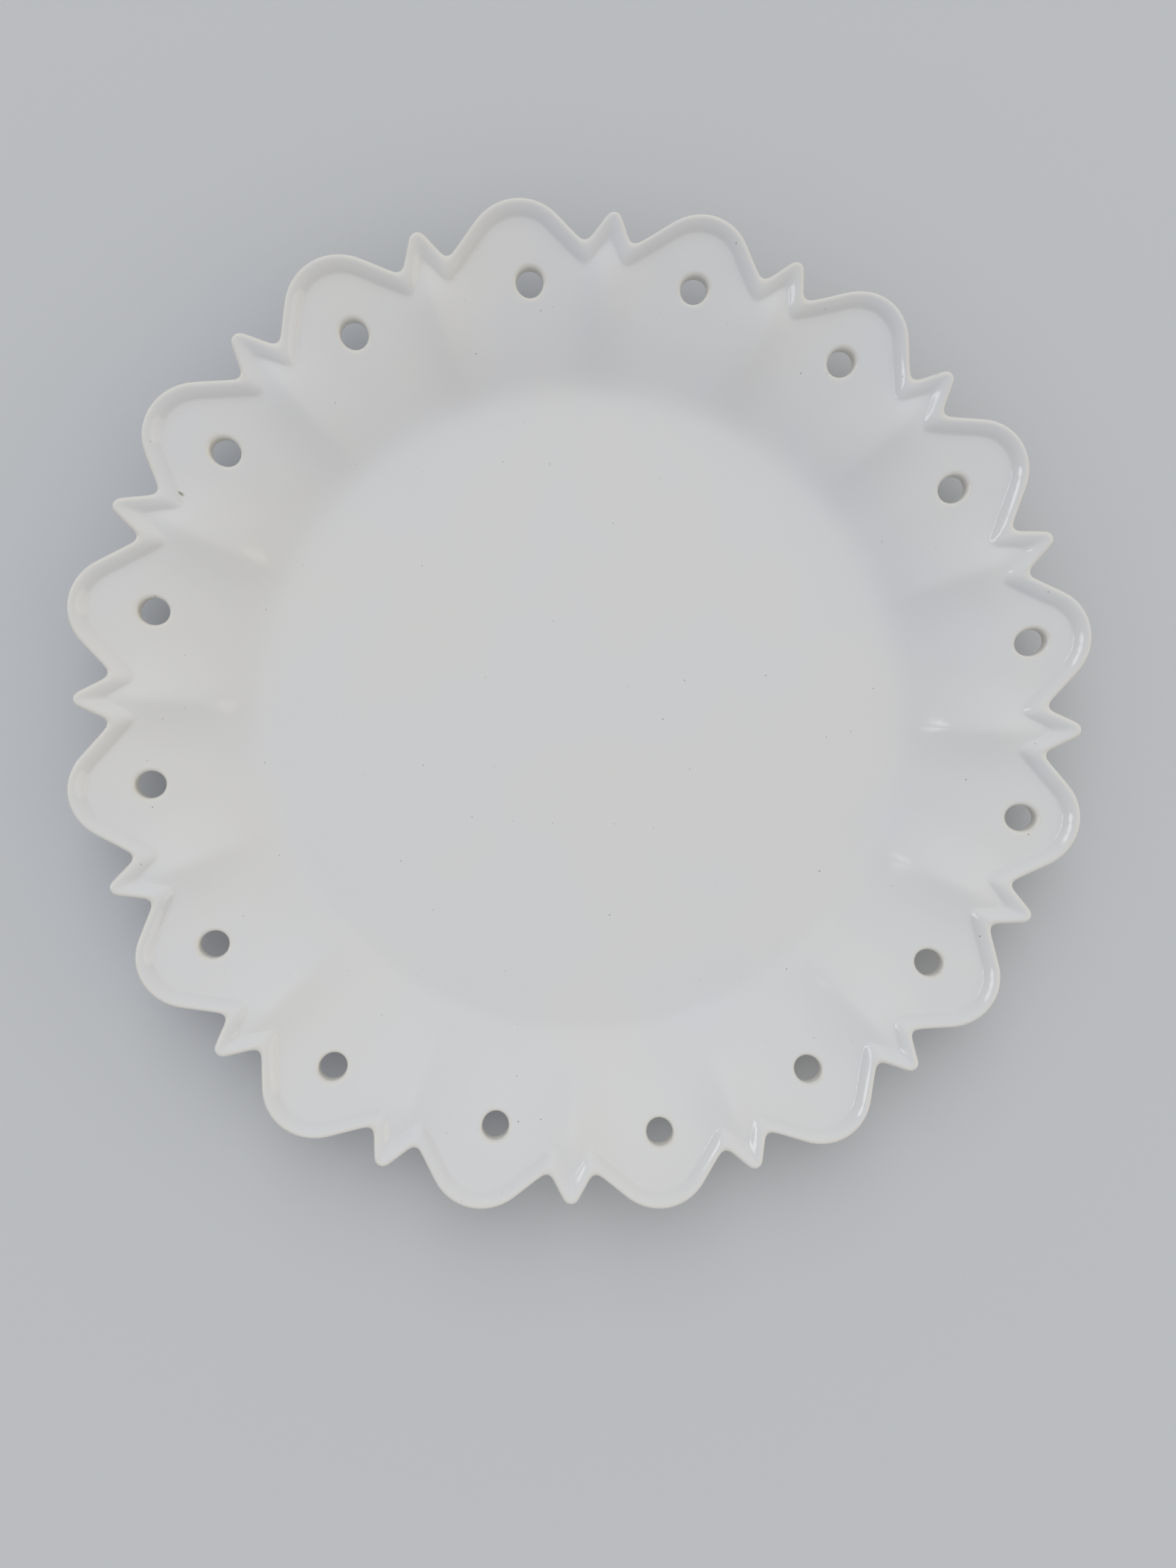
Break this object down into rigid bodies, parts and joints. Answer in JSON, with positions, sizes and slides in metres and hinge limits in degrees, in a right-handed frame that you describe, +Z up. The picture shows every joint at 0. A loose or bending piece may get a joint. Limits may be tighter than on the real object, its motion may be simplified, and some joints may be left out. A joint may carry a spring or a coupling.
{
  "type": "pierced platter",
  "caption": "Round white glazed serving platter with a flat well and a flared scalloped rim of dished, lipped petals, small spikes between them and a ring of round piercings.",
  "frame": {"origin": "centre of the foot ring, on the surface that the platter stands on", "axes": "+Z up, out of the well; +X and +Y each pass through a spike of the rim"},
  "size_m": [0.3498, 0.3498, 0.0356],
  "materials": {
    "white_glaze": "glossy white glaze over pale clay, warmer and thinner along the edges"
  },
  "bodies": {
    "root": {"platter": "white_glaze"}
  },
  "joints": []
}
